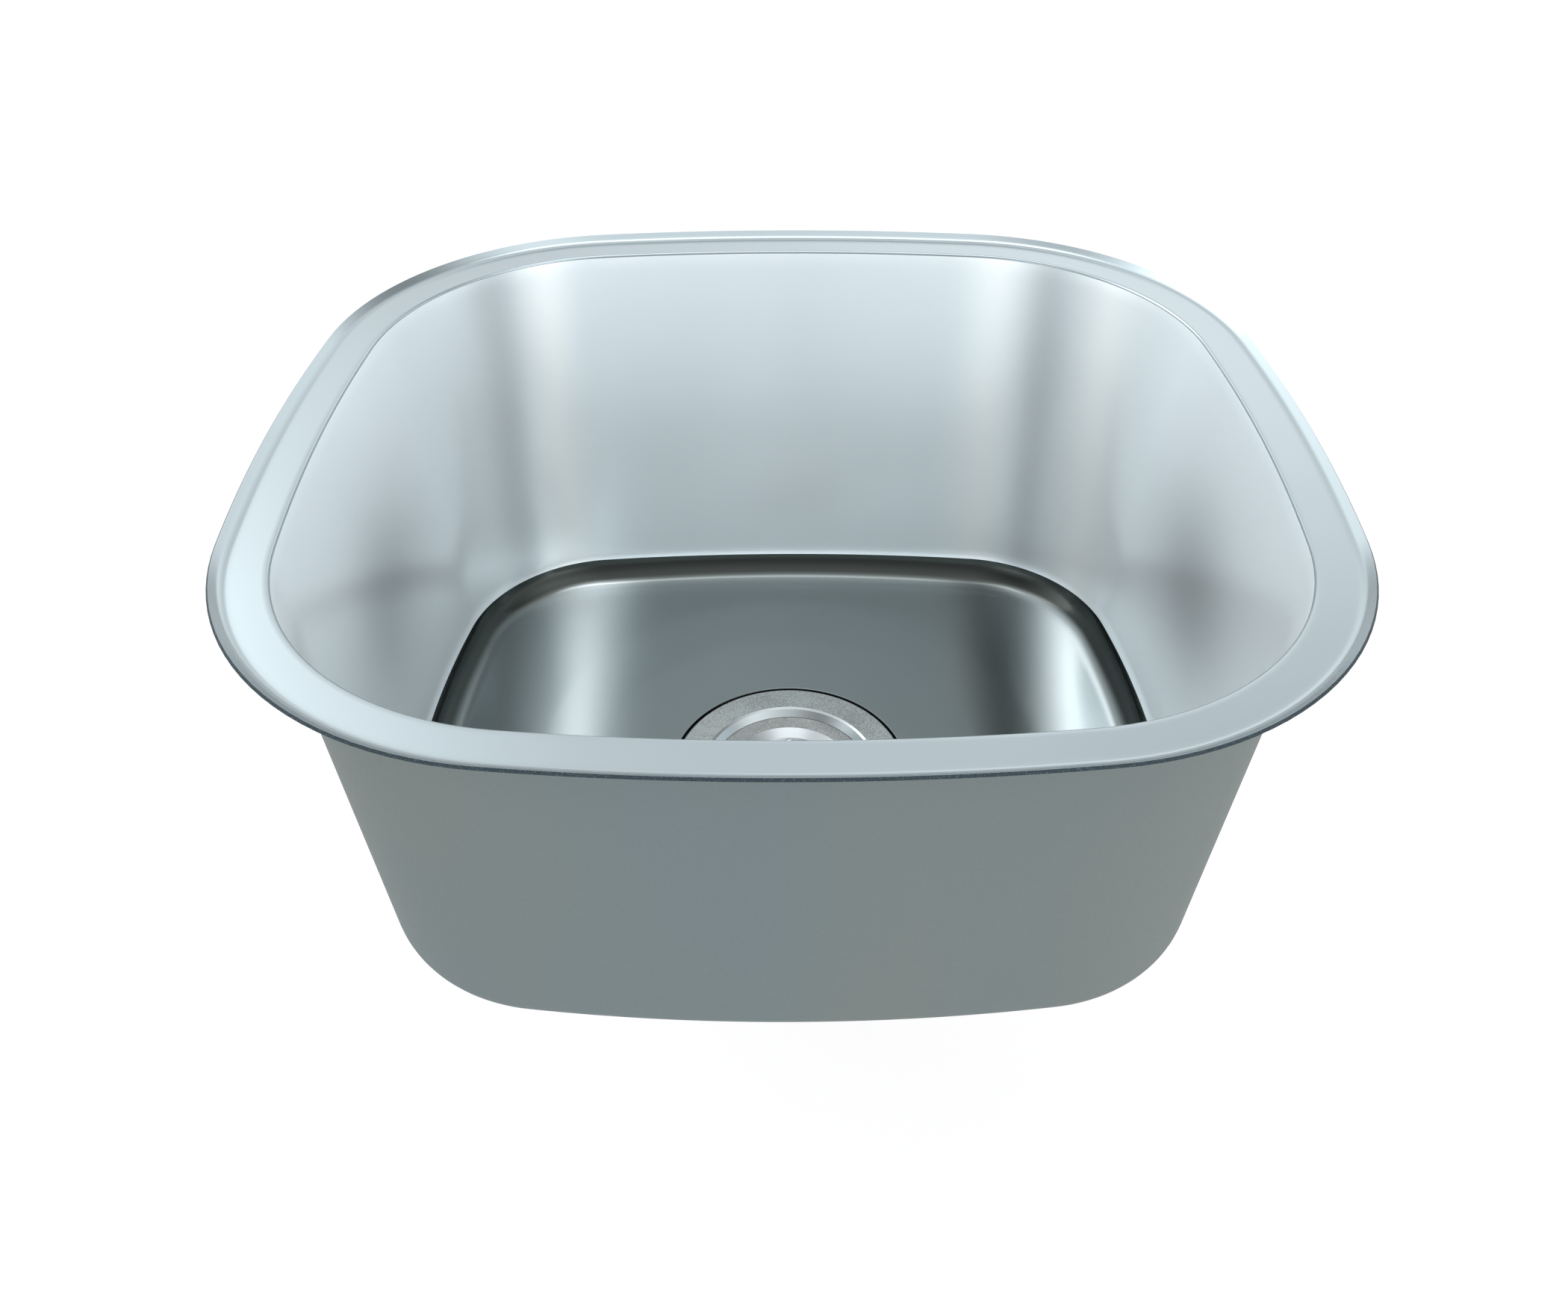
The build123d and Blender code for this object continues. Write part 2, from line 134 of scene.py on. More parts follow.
# %% A node tree that is written in expressions
class Tree:
    """The nodes of a material or of the world."""

    def __init__(self, owner):
        owner.use_nodes = True
        self.nodes = owner.node_tree.nodes
        self.links = owner.node_tree.links
        self.nodes.clear()

    def node(self, kind, settings=None, values=None, output=0):
        """Adds a node: its own settings first, then the values or links of its sockets."""
        made = self.nodes.new("ShaderNode" + kind)
        for name, value in (settings or {}).items():
            setattr(made, name, value)
        for name, value in (values or {}).items():
            if isinstance(value, Socket):
                self.links.new(value.socket, made.inputs[name])
            else:
                made.inputs[name].default_value = value
        return Socket(self, made.outputs[output]) if made.outputs else None

    def math(self, operation, *values):
        """A Math node on one or two values."""
        return self.node("Math", {"operation": operation}, dict(enumerate(values)))

    def step(self, value, low, high):
        """0 below low, 1 above high, and smooth between."""
        values = {"Value": value, "From Min": low, "From Max": high}
        return self.node("MapRange", {"interpolation_type": "SMOOTHSTEP"}, values)

    def spread(self, value, low, high):
        """A 0 to 1 value spread over low to high."""
        return self.node("MapRange", None, {"Value": value, "To Min": low, "To Max": high})

    def bell(self, value, centre, width):
        """1 where the value is at the centre, falling smoothly to 0 beyond the width."""
        apart = (value - centre) * (1 / width)
        return self.math("EXPONENT", apart * apart * -1)

    def mix(self, factor, first, second):
        """A colour between two colours. The node's inputs 6 and 7 are its colours, and output 2 too."""
        values = {"Factor": factor, 6: first, 7: second}
        return self.node("Mix", {"data_type": "RGBA"}, values, output=2)

    def place(self, scale=(1, 1, 1)):
        """The point in the model's frame, in metres; unequal scales stretch the texture that reads it."""
        point = self.node("TexCoord", output="Object")
        return self.node("VectorMath", {"operation": "MULTIPLY"}, {0: point, 1: scale})

    def part(self, vector, axis):
        """The X, Y or Z of a vector."""
        return self.node("SeparateXYZ", None, {0: vector}, output=axis)

    def upright(self):
        """How far the surface faces up: 1 on a level face, 0 on a wall and -1 on an underside."""
        return self.part(self.node("NewGeometry", output="Normal"), "Z")

    def ray(self, kind):
        """1 for rays of that kind, such as Camera or Glossy, and 0 for the others."""
        return self.node("LightPath", output=f"Is {kind} Ray")

    def noise(self, vector, scale=1.0, detail=2.0):
        """A cloudy value from 0 to 1; detail adds finer clouds to it."""
        return self.node("TexNoise", None, {"Vector": vector, "Scale": scale, "Detail": detail})

    def bump(self, height, distance):
        """A normal that shows relief: a height from 0 to 1, as deep as the distance in metres."""
        return self.node("Bump", None, {"Height": height, "Distance": distance})


print("the node tree is ready")

# %% [markdown]
# ## Making a material
# Every finish here is one Principled shader. A picture of the steel could be laid on the bowl, but it would
# carry the light of one place with it. A recipe works out the grain, brushing, dust and wear at each point
# instead, and the light stays free to move. Only the walls and floor of the bowl carry painted reflections
# and painted shade in their colour.

# %% Material maker
# Most of a noise lies near the middle of 0 to 1. A step over this range makes it fill the whole.
NOISE_MIDDLE = (0.35, 0.65)


def rgba(colour):
    return (*colour, 1.0)


def material(name, recipe, metallic=0.0):
    """A Principled material; recipe(tree) gives the values and links that make its look."""
    made = bpy.data.materials.new(name)
    tree = Tree(made)
    shader = tree.node("BsdfPrincipled", None, {"Metallic": metallic, **recipe(tree)})
    tree.node("OutputMaterial", None, {"Surface": shader})
    return made


print("the material maker is ready")

# %% [markdown]
# ## The belt's grain
# The inside of a drawn bowl is ground with a fine belt, which leaves short scratches that run level round
# the walls and from side to side on the floor and flange. Grooves that fine would take millions of faces.
# Very fine bump in stretched noise gives the same glint, and a soft blotch in the roughness stands for the
# uneven pressure of the belt.

# %% Scratches, speckle and blotch
# How tightly the noise is packed along X, Y and Z: it is drawn out where the number is small.
WALL_BRUSHING = (240, 240, 4200)
FLOOR_BRUSHING = (240, 4200, 240)
# From wall to level face, by how far the surface faces up.
LEVEL_FACE = (0.6, 0.9)
SPECKLE_SCALE = 1800
BLOTCH_SCALE = 9
BLOTCH_DEPTH = 0.97
BRUSH_DEPTH = 0.0000004
FLANGE_COLOUR = (0.34, 0.40, 0.425)
FLANGE_ROUGHNESS = (0.16, 0.26)


def belt_grain(tree):
    """The belt's scratches, fine speckle and slow blotch, each from 0 to 1."""
    flat = tree.step(tree.math("ABSOLUTE", tree.upright()), *LEVEL_FACE)
    on_wall = tree.noise(tree.place(WALL_BRUSHING), detail=3)
    on_floor = tree.noise(tree.place(FLOOR_BRUSHING), detail=3)
    scratches = on_wall * (1 - flat) + on_floor * flat
    speckle = tree.noise(tree.place(), scale=SPECKLE_SCALE)
    blotch = tree.noise(tree.place(), scale=BLOTCH_SCALE)
    return scratches, speckle, blotch


def ground_recipe(light, roughness, paint_light=None):
    """Belt-ground steel; the optional last argument paints reflections and shade into its colour by place.
    """
    blotched = [channel * BLOTCH_DEPTH for channel in light]

    def recipe(tree):
        scratches, speckle, blotch = belt_grain(tree)
        colour = tree.mix(tree.step(blotch, *NOISE_MIDDLE), rgba(light), rgba(blotched))
        return {
            "Base Color": paint_light(tree, colour) if paint_light else colour,
            "Roughness": tree.spread(scratches * 0.4 + speckle * 0.4 + blotch * 0.2, *roughness),
            "Normal": tree.bump(scratches * 0.6 + speckle * 0.4, BRUSH_DEPTH),
        }

    return recipe


flange_ground = ground_recipe(FLANGE_COLOUR, FLANGE_ROUGHNESS)
flange_steel = material("flange_steel", flange_ground, metallic=1.0)
print("made", flange_steel.name)

# %% [markdown]
# ## Painted reflections and shade on the walls
# Ground walls show the windows of a room as long upright bands. The photograph has light tracks and darker
# strips in the rear corners, a darker patch on each side wall, faint streaks, and a little shade towards the
# rim. Sharper windows could draw them, but those of this studio had to be soft to suit the rest of the
# bowl. So the tracks and strips are painted reflections, and the patches and the shade towards the rim are
# painted shade, all as bell curves and steps in the steel's colour; the streaks are random tone. When the
# view moves they stay where they are, which real reflections would not do.

# %% Steel of the walls
BLACK = (0, 0, 0)
# The walls are the same steel sheet as the flange, but their far paler colour is painted light.
WALL_COLOUR_WITH_PAINTED_LIGHT = (0.89, 0.965, 1.0)
# Colour of the painted reflections of bright windows on the walls.
WALL_PAINTED_REFLECTION_COLOUR = (0.97, 1.0, 1.0)
WALL_ROUGHNESS = (0.2, 0.3)
# Painted reflections: middle and width of each band from side to side, in metres, then how strong it is.
WALL_PAINTED_DARK_REFLECTIONS = ((-0.145, 0.012, 0.25), (0.131, 0.013, 0.25))
WALL_PAINTED_LIGHT_REFLECTIONS = ((-0.122, 0.011, 0.9), (0.107, 0.014, 0.9), (0.158, 0.011, 0.9))
UPPER_SHADE = 0.17
SHADE_REACH = 150
STREAK_STRETCH = (8, 8, 0.5)
STREAK_DEPTH = 0.05
# Middle and width of the patches of painted shade, in metres, from front to rear and in height.
SHADE_PATCH_BELOW_LIP = 98
SHADE_PATCH_ALONG = (0.015, 0.055)
SHADE_PATCH_HEIGHT = ((z_lip - SHADE_PATCH_BELOW_LIP) * MM, 0.042)
SHADE_PATCH_STRENGTH = 0.42


def painted_bands(tree, colour, bands, painted_colour):
    """Mixes painted reflections, light or dark, into the steel's colour along bands that run from front to
    rear.
    """
    across = tree.part(tree.place(), "X")
    for middle, width, strength in bands:
        colour = tree.mix(tree.bell(across, middle, width) * strength, colour, rgba(painted_colour))
    return colour


# Painted shade towards the rim and in a patch on each side wall, faint random streaks, and painted
# reflections.
def wall_painted_light(tree, colour):
    along, height = tree.part(tree.place(), "Y"), tree.part(tree.place(), "Z")
    upper = tree.step(height, (z_rim - SHADE_REACH) * MM, z_rim * MM)
    streak = tree.step(tree.noise(tree.place(STREAK_STRETCH), detail=1), *NOISE_MIDDLE)
    shade_patch = tree.bell(along, *SHADE_PATCH_ALONG) * tree.bell(height, *SHADE_PATCH_HEIGHT)
    shade = upper * UPPER_SHADE + streak * STREAK_DEPTH + shade_patch * SHADE_PATCH_STRENGTH
    colour = tree.mix(shade, colour, rgba(BLACK))
    colour = painted_bands(tree, colour, WALL_PAINTED_DARK_REFLECTIONS, BLACK)
    return painted_bands(tree, colour, WALL_PAINTED_LIGHT_REFLECTIONS, WALL_PAINTED_REFLECTION_COLOUR)


# Half metallic: the other half scatters light, for walls as pale as the photograph's.
wall_ground = ground_recipe(WALL_COLOUR_WITH_PAINTED_LIGHT, WALL_ROUGHNESS, wall_painted_light)
wall_steel = material("wall_steel", wall_ground, metallic=0.5)
print("made", wall_steel.name)

# %% [markdown]
# ## Painted reflections and shade on the floor
# The floor is one sheet with the walls. Yet the photograph shows it darker, and the rounded corner round
# it nearly black, because they mirror dimmer parts of the room. The studio alone doesn't give that, so both
# have a darker colour of their own, which is painted shade, and the floor has painted reflections in light
# tracks and dark strips as the walls have. The corner could be a finish with a hard border. Here its painted
# shade follows how steep the surface is, so it fades out.

# %% Steel of the floor
# The floor's steel colour is darkened by painted shade, for the dimmer parts of the room it mirrors.
FLOOR_COLOUR_WITH_PAINTED_SHADE = (0.18, 0.205, 0.207)
# Colour of the light painted reflections on the floor.
FLOOR_PAINTED_REFLECTION_COLOUR = (0.52, 0.57, 0.58)
FLOOR_ROUGHNESS = (0.12, 0.2)
# Painted dark and light reflections: middle and width of each band in metres, then how strong it is.
FLOOR_PAINTED_DARK_REFLECTIONS = ((-0.153, 0.014, 0.25), (0.109, 0.018, 0.5))
FLOOR_PAINTED_LIGHT_REFLECTIONS = ((-0.107, 0.018, 0.95), (0.151, 0.02, 0.95))
# Painted shade in the rounded corner where the walls meet the floor.
CORNER_PAINTED_SHADE_COLOUR = (0.038, 0.044, 0.042)
# The corner's painted shade gives way to the floor's colour as the surface turns level, between these two.
CORNER_SHADE_END = (0.82, 0.995)


# Painted reflections in bands, then painted shade in the rounded corner.
def floor_painted_light(tree, colour):
    colour = painted_bands(tree, colour, FLOOR_PAINTED_DARK_REFLECTIONS, BLACK)
    colour = painted_bands(tree, colour, FLOOR_PAINTED_LIGHT_REFLECTIONS, FLOOR_PAINTED_REFLECTION_COLOUR)
    return tree.mix(tree.step(tree.upright(), *CORNER_SHADE_END), rgba(CORNER_PAINTED_SHADE_COLOUR), colour)


floor_ground = ground_recipe(FLOOR_COLOUR_WITH_PAINTED_SHADE, FLOOR_ROUGHNESS, floor_painted_light)
floor_steel = material("floor_steel", floor_ground, metallic=1.0)
print("made", floor_steel.name)

# %% [markdown]
# ## The sprayed coat and the cut edge
# The outside of the bowl is sprayed with a matt coat that deadens sound. It is dull, with a very fine
# orange-peel skin and a slow drift of tint. The sheet's cut edge round the lip is left raw: dark, and torn
# into a fine grain. Both are too fine for faces, so noise in colour, roughness and bump gives them.

# %% Coat and cut edge
COAT_COLOUR = (0.091, 0.119, 0.125)
COAT_WARM_COLOUR = (0.101, 0.122, 0.119)
COAT_ROUGHNESS = (0.62, 0.8)
COAT_SKIN_DEPTH = 0.00003
EDGE_COLOUR = (0.021, 0.037, 0.047)
EDGE_LIGHT_COLOUR = (0.071, 0.093, 0.104)
EDGE_ROUGHNESS = (0.45, 0.7)
EDGE_TEARS = (0.5, 0.72)
EDGE_TEAR_DEPTH = 0.00005


def coat_recipe(tree):
    skin = tree.noise(tree.place(), scale=700, detail=3)
    drift = tree.step(tree.noise(tree.place((1, 1, 0.25)), scale=9), *NOISE_MIDDLE)
    return {
        "Base Color": tree.mix(drift, rgba(COAT_COLOUR), rgba(COAT_WARM_COLOUR)),
        "Roughness": tree.spread(skin, *COAT_ROUGHNESS),
        "Normal": tree.bump(skin, COAT_SKIN_DEPTH),
    }


def cut_edge_recipe(tree):
    tears = tree.noise(tree.place(), scale=2200)
    return {
        "Base Color": tree.mix(tree.step(tears, *EDGE_TEARS), rgba(EDGE_COLOUR), rgba(EDGE_LIGHT_COLOUR)),
        "Roughness": tree.spread(tears, *EDGE_ROUGHNESS),
        "Normal": tree.bump(tears, EDGE_TEAR_DEPTH),
    }


bowl_coat = material("bowl_coat", coat_recipe)
cut_edge = material("cut_edge", cut_edge_recipe, metallic=0.6)
print("made", bowl_coat.name, cut_edge.name)

# %% [markdown]
# ## The bowl's outlines
# Seen from above, the rim and the floor are rectangles whose four sides bow outward, with large rounded
# corners: four flat arcs and four corner arcs, all meeting smoothly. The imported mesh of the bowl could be
# shaded as it is, but a polished curve shows every flat in its mesh. So the bowl is rebuilt as one even net
# of quads on the same outlines. A quarter of each outline is worked out, and the rest mirrors it.

# %% Outline of the rim and of the floor
SIDE_STEPS = 22
CORNER_STEPS = 26


def corner_centre(side, end, near, far):
    """Where the two flat arcs cross once they are drawn in by the corner's radius, to near and far."""
    apart = math.hypot(side, end)
    along = (near**2 - far**2 + apart**2) / (2 * apart)
    across = math.sqrt(near**2 - along**2)
    return side - (along * side + across * end) / apart, (along * end - across * side) / apart


def outline(half_width, half_depth, side_radius, end_radius, corner_radius, grow=0.0):
    """Points round the outline in the plane, in millimetres, grown by grow all round."""
    half_width, half_depth = half_width + grow, half_depth + grow
    side_radius, end_radius, corner_radius = side_radius + grow, end_radius + grow, corner_radius + grow
    side = half_width - side_radius
    end = half_depth - end_radius
    x, y = corner_centre(side, end, side_radius - corner_radius, end_radius - corner_radius)
    # The corner arc starts and stops in line with the centres of the flat arcs beside it.
    start, stop = math.atan2(y, x - side), math.atan2(y - end, x)
    arcs = (
        (side, 0, side_radius, 0, start, SIDE_STEPS),
        (x, y, corner_radius, start, stop, CORNER_STEPS),
        (0, end, end_radius, stop, math.pi / 2, SIDE_STEPS),
    )
    quarter = [
        (centre_x + radius * math.cos(angle), centre_y + radius * math.sin(angle))
        for centre_x, centre_y, radius, first, last, steps in arcs
        for angle in np.linspace(first, last, steps, endpoint=False)
    ]
    quarter = np.array(quarter + [(0, half_depth)])
    mirrored = quarter[::-1] * (-1, 1)
    half = np.concatenate([quarter[:-1], mirrored[:-1]])
    return np.concatenate([half, -half])


print("steps in a quarter of an outline:", 2 * SIDE_STEPS + CORNER_STEPS)

# %% [markdown]
# ## Sizes of the bowl
# These are the model's own driving sizes, in millimetres. The rim's outline is the top edge of the lip, and
# the floor's outline is where the walls would meet the floor if nothing were rounded. They are written as
# numbers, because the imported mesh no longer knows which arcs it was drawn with.

# %% Bowl sizes
# Half the width and half the depth, then the radius of the side arcs, end arcs and corners.
RIM = (210.0, 198.0, 850.0, 860.0, 126.0)
FLOOR = (178.0, 157.0, 500.0, 880.0, 72.0)
SHEET = 1.2
RIM_WIDTH = 19.5
LIP_RUN = 3.5
LIP_BLEND_RADIUS = 5.0
OPENING_RADIUS = 1.2
BOWL_DEPTH = 187.0
FLOOR_FILLET = 18.0

z_floor = z_lip - BOWL_DEPTH
print("flange at", round(z_rim, 2), "mm, floor at", round(z_floor, 2), "mm")
print("points round the bowl:", len(outline(*RIM)))

# %% [markdown]
# ## Rounding a corner between two straight runs
# A drawn sheet has no sharp folds. A bevel could round them once the mesh is made, but it would choose its
# own rings. Here a rolled corner is an arc that touches both runs, found from the corner point and the two
# directions away from it. It works on a whole ring of corner points at once.


# %% Rounded corner, for a ring of corners
def unit(vectors):
    return vectors / np.linalg.norm(vectors, axis=-1, keepdims=True)


def rounded(corner, before, after, radius, steps):
    """Rings along the arc that rounds each corner point between the points before and after it."""
    back, ahead = unit(before - corner), unit(after - corner)
    half_angle = np.arccos(np.clip((back * ahead).sum(-1, keepdims=True), -1, 1)) / 2
    middle = corner + unit(back + ahead) * radius / np.sin(half_angle)
    first = corner + back * radius / np.tan(half_angle) - middle
    last = corner + ahead * radius / np.tan(half_angle) - middle
    turn = math.pi / 2 - half_angle
    rings = []
    for share in np.linspace(0, 1, steps + 1):
        weight_first = np.sin((1 - share) * 2 * turn) / np.sin(2 * turn)
        weight_last = np.sin(share * 2 * turn) / np.sin(2 * turn)
        rings.append(middle + first * weight_first + last * weight_last)
    return rings


def level(ring, height):
    """A plane outline lifted to a height."""
    return np.column_stack([ring, np.full(len(ring), height)])


def between(first, last, steps):
    """Rings strictly between two rings."""
    return [first + (last - first) * share for share in np.linspace(0, 1, steps + 1)[1:-1]]


print("rings can be rounded, lifted and filled in")

# %% [markdown]
# ## The fall of the floor
# The floor falls gently to the drain, so that it empties, then drops into a round recess that the
# strainer's flange lies in. A press rounds each crease of such a floor. The fall is written as straight
# runs, and a sliding average eases the creases, wide on the floor and narrow at the recess.

# %% Dished floor
DISH_RADIUS = 126.0
RECESS_EDGE = 61.5
RECESS_FOOT = 56.5
HOLE_RADIUS = 44.5
# Distance from the drain's axis, and the drop below the level floor.
FALL = ((DISH_RADIUS, 0.0), (94.0, 1.6), (57.9, 4.9), (57.2, 7.0), (HOLE_RADIUS, 7.0))
FALL_CREASE = 6.0
RECESS_CREASE = 0.6
DISH_SAMPLES = 1600
# Where each band of rings starts and ends, and how many rings it has.
DISH_BANDS = (
    (DISH_RADIUS, RECESS_EDGE, 20),
    (RECESS_EDGE, RECESS_FOOT, 24),
    (RECESS_FOOT, HOLE_RADIUS, 4),
)


def eased(heights, window_width, step):
    """The heights with their creases rounded over a window of that width."""
    window = np.hanning(int(window_width / step) | 1)
    padded = np.pad(heights, len(window) // 2, mode="edge")
    return np.convolve(padded, window / window.sum(), mode="valid")


def dish_drops(back):
    """Distance and drop of each ring of the dished floor; back lowers it by the sheet."""
    distances, drops = np.array(FALL).T
    fine = np.linspace(DISH_RADIUS, HOLE_RADIUS, DISH_SAMPLES)
    straight = np.interp(-fine, -distances, drops)
    step = fine[0] - fine[1]
    floor_drop, recess_drop = (eased(straight, width, step) for width in (FALL_CREASE, RECESS_CREASE))
    drop = np.where(fine > RECESS_EDGE, floor_drop, recess_drop)
    picked = [np.linspace(first, last, count, endpoint=False) for first, last, count in DISH_BANDS]
    picked = np.concatenate([*picked, [HOLE_RADIUS]])
    return [(distance, np.interp(-distance, -fine, drop) + back) for distance in picked]


print("rings in the dished floor:", len(dish_drops(0)))

# %% [markdown]
# ## The bowl's two faces
# The face is a stack of rings, from the opening, down the wall and over the floor to the drain hole. The
# back of the sheet is a second stack, one sheet further out. A thickened single face would do as well, but
# two stacks keep the rolled corners true arcs on both sides.

# %% Rings of one face
WALL_STEPS = 26
FLOOR_STEPS = 8
FILLET_STEPS = 14
OPENING_STEPS = 4
# A ring this far outside the opening shows which way the flange runs there.
BESIDE_OPENING = 4.0


def bowl_face(back=0.0):
    """Rings of the bowl's face from the opening to the drain hole; back is 0 for the face itself."""
    opening = level(outline(*RIM, back - RIM_WIDTH), z_rim - back)
    foot = level(outline(*FLOOR, back), z_floor - back)
    flange = level(outline(*RIM, back - RIM_WIDTH + BESIDE_OPENING), z_rim - back)
    reach = unit(foot * (1, 1, 0))
    drops = dish_drops(back)
    dish = [reach * (distance, distance, 0) + (0, 0, z_floor - drop) for distance, drop in drops]
    top_radius = OPENING_RADIUS / 2 if back else OPENING_RADIUS
    top = rounded(opening, flange, foot, top_radius, OPENING_STEPS)
    bottom = rounded(foot, opening, dish[0], FLOOR_FILLET + back, FILLET_STEPS)
    wall = top + between(top[-1], bottom[0], WALL_STEPS)
    floor = bottom + between(bottom[-1], dish[0], FLOOR_STEPS) + dish
    return wall, floor


wall_rings, floor_rings = bowl_face()
print("rings:", len(wall_rings), "on the wall and", len(floor_rings), "on the floor")

# %% [markdown]
# ## The flange and its turned-up lip
# Outside the opening the sheet lies flat for a bead of sealant, then turns up at forty degrees. The cut
# edge of the sheet closes the outside. The upper bend is rolled, since light runs along it, and the lower
# one is left as a fold, because it lies under the flange.

# %% Rings of the lip
LIP_STEPS = 3
BLEND_STEPS = 8
FLANGE_STEPS = 8
BACK_FLANGE_STEPS = 6
# The flat flange ends this far outside the opening, where the rolled edge of the wall begins.
FLAT_END = 1.0

lip_slope = math.hypot(LIP_RUN, LIP_RISE)
edge_out = SHEET * LIP_RISE / lip_slope
edge_drop = SHEET * LIP_RUN / lip_slope
underside_in = (LIP_RISE + SHEET - edge_drop) * LIP_RUN / LIP_RISE - edge_out


def lip_rings():
    """The face's rings from the tip of the lip to the flat flange."""
    tip = level(outline(*RIM), z_lip)
    bend = level(outline(*RIM, -LIP_RUN), z_rim)
    flat = level(outline(*RIM, FLAT_END - RIM_WIDTH), z_rim)
    blend = rounded(bend, tip, flat, LIP_BLEND_RADIUS, BLEND_STEPS)
    return [tip] + between(tip, blend[0], LIP_STEPS) + blend + between(blend[-1], flat, FLANGE_STEPS)


def lip_back_rings():
    """The back's rings from the cut edge to the flat underside of the flange."""
    tip = level(outline(*RIM, edge_out), z_lip - edge_drop)
    bend = level(outline(*RIM, -underside_in), z_rim - SHEET)
    flat = level(outline(*RIM, SHEET + FLAT_END - RIM_WIDTH), z_rim - SHEET)
    return [tip] + between(tip, bend, LIP_STEPS) + [bend] + between(bend, flat, BACK_FLANGE_STEPS)


flange_rings = lip_rings()
back_rings = lip_back_rings() + [ring for rings in bowl_face(SHEET) for ring in rings]
print("rings:", len(flange_rings), "on the flange and", len(back_rings), "on the back")

# %% [markdown]
# ## Joining rings into a closed piece
# A stack of rings becomes a piece when each ring is joined to the next by a row of quads. It either closes
# on itself, as the bowl does, or is capped at both ends, as a thread is. Quads in rows keep the shading
# even, and each row can take a finish of its own.


# %% Net of quads
def net(name, rings, finishes, finish_of, body, capped=False):
    """A mesh through rings of points: the last ring joins the first, or both are capped."""
    columns = len(rings[0])
    points = np.concatenate(rings) * MM
    rows = len(rings) - 1 if capped else len(rings)
    faces = []
    kinds = []
    for row in range(rows):
        here = row * columns
        there = (row + 1) % len(rings) * columns
        for column in range(columns):
            following = (column + 1) % columns
            faces.append((here + column, there + column, there + following, here + following))
        kinds += [finish_of(row)] * columns
    if capped:
        faces += [tuple(range(columns)), tuple(range(len(points) - 1, len(points) - 1 - columns, -1))]
        kinds += [finish_of(0), finish_of(rows - 1)]
    mesh = bpy.data.meshes.new(name)
    mesh.from_pydata(points.tolist(), [], faces)
    for finish in finishes:
        mesh.materials.append(finish)
    mesh.polygons.foreach_set("material_index", kinds)
    mesh.polygons.foreach_set("use_smooth", [True] * len(faces))
    mesh.update()
    piece = bpy.data.objects.new(name, mesh)
    bpy.context.scene.collection.objects.link(piece)
    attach(piece, body)
    return piece


print("rings can be joined into a piece")

# %% [markdown]
# ## The bowl
# The face's rings run inward and the back's rings run outward, so the stack closes on itself at the cut
# edge and at the drain hole. Each row takes the finish of the side that it lies on. The wall's finish goes
# a little way into the rounded corner, to where the photograph's dark band begins.

# %% Bowl
BOWL_SHARP_ANGLE = math.radians(35)
# Rows of the rounded corner that still take the wall's finish.
GROUND_FILLET_STEPS = 3
FLANGE_STEEL, WALL_STEEL, FLOOR_STEEL, CUT_EDGE, COAT = range(5)

bowl_finishes = (flange_steel, wall_steel, floor_steel, cut_edge, bowl_coat)
bowl_rings = flange_rings + wall_rings + floor_rings + back_rings[::-1]
rolled_end = len(flange_rings) + OPENING_STEPS
wall_end = len(flange_rings) + len(wall_rings) + GROUND_FILLET_STEPS
face_end = len(flange_rings) + len(wall_rings) + len(floor_rings)


def bowl_finish(row):
    """Which of the bowl's finishes the quads after each ring take."""
    if row in (face_end - 1, len(bowl_rings) - 1):
        return CUT_EDGE
    if row >= face_end:
        return COAT
    if row >= wall_end:
        return FLOOR_STEEL
    return WALL_STEEL if row >= rolled_end else FLANGE_STEEL


bowl = net("bowl_surface", bowl_rings, bowl_finishes, bowl_finish, "sink")
bowl.data.set_sharp_from_angle(angle=BOWL_SHARP_ANGLE)
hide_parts("sink_bowl")
print("bowl:", len(bowl.data.polygons), "faces")

# %% [markdown]
# ## Pressed steel of the strainer and basket
# The strainer and its basket are pressed steel. Their flat faces are blasted to an even grain, and their
# slopes are spun bright. Each ring could be given its own finish by hand. Asking the surface how steep it
# is does it for all rings at once, with a soft border as on the real cup.

# %% Blasted flats and bright slopes
# Only faces nearer to level than this take the blasting.
BLASTED_FACE = (0.95, 0.99)
BLAST_GRAIN_SCALE = 1500
BLAST_CLOUD_SCALE = 45
BLAST_RANGE = (0.38, 0.62)
BLAST_DULL_SHARE = 0.62
BLAST_DEPTH = 0.00001


def pressed_recipe(flat_colour, flat_rough, slope_colour, slope_rough):
    """Even grain on level faces, and a smoother face on slopes and walls."""
    dull_colour = [channel * BLAST_DULL_SHARE for channel in flat_colour]

    def recipe(tree):
        flat = tree.step(tree.math("ABSOLUTE", tree.upright()), *BLASTED_FACE)
        grain = tree.noise(tree.place(), scale=BLAST_GRAIN_SCALE, detail=3)
        cloud = tree.noise(tree.place(), scale=BLAST_CLOUD_SCALE)
        dullness = tree.step(grain * 0.7 + cloud * 0.3, *BLAST_RANGE)
        blasted = tree.mix(dullness, rgba(flat_colour), rgba(dull_colour))
        rough = tree.spread(grain * flat, slope_rough, flat_rough)
        return {
            "Base Color": tree.mix(flat, rgba(slope_colour), blasted),
            "Roughness": rough + flat * (flat_rough - slope_rough) * 0.5,
            "Normal": tree.bump(grain * flat, BLAST_DEPTH),
        }

    return recipe


# Colour and roughness of the level faces, then of the slopes.
strainer_press = pressed_recipe((0.385, 0.41, 0.405), 0.36, (0.34, 0.38, 0.392), 0.22)
basket_press = pressed_recipe((0.27, 0.29, 0.29), 0.34, (0.30, 0.33, 0.342), 0.22)
print("the pressed steels are ready")

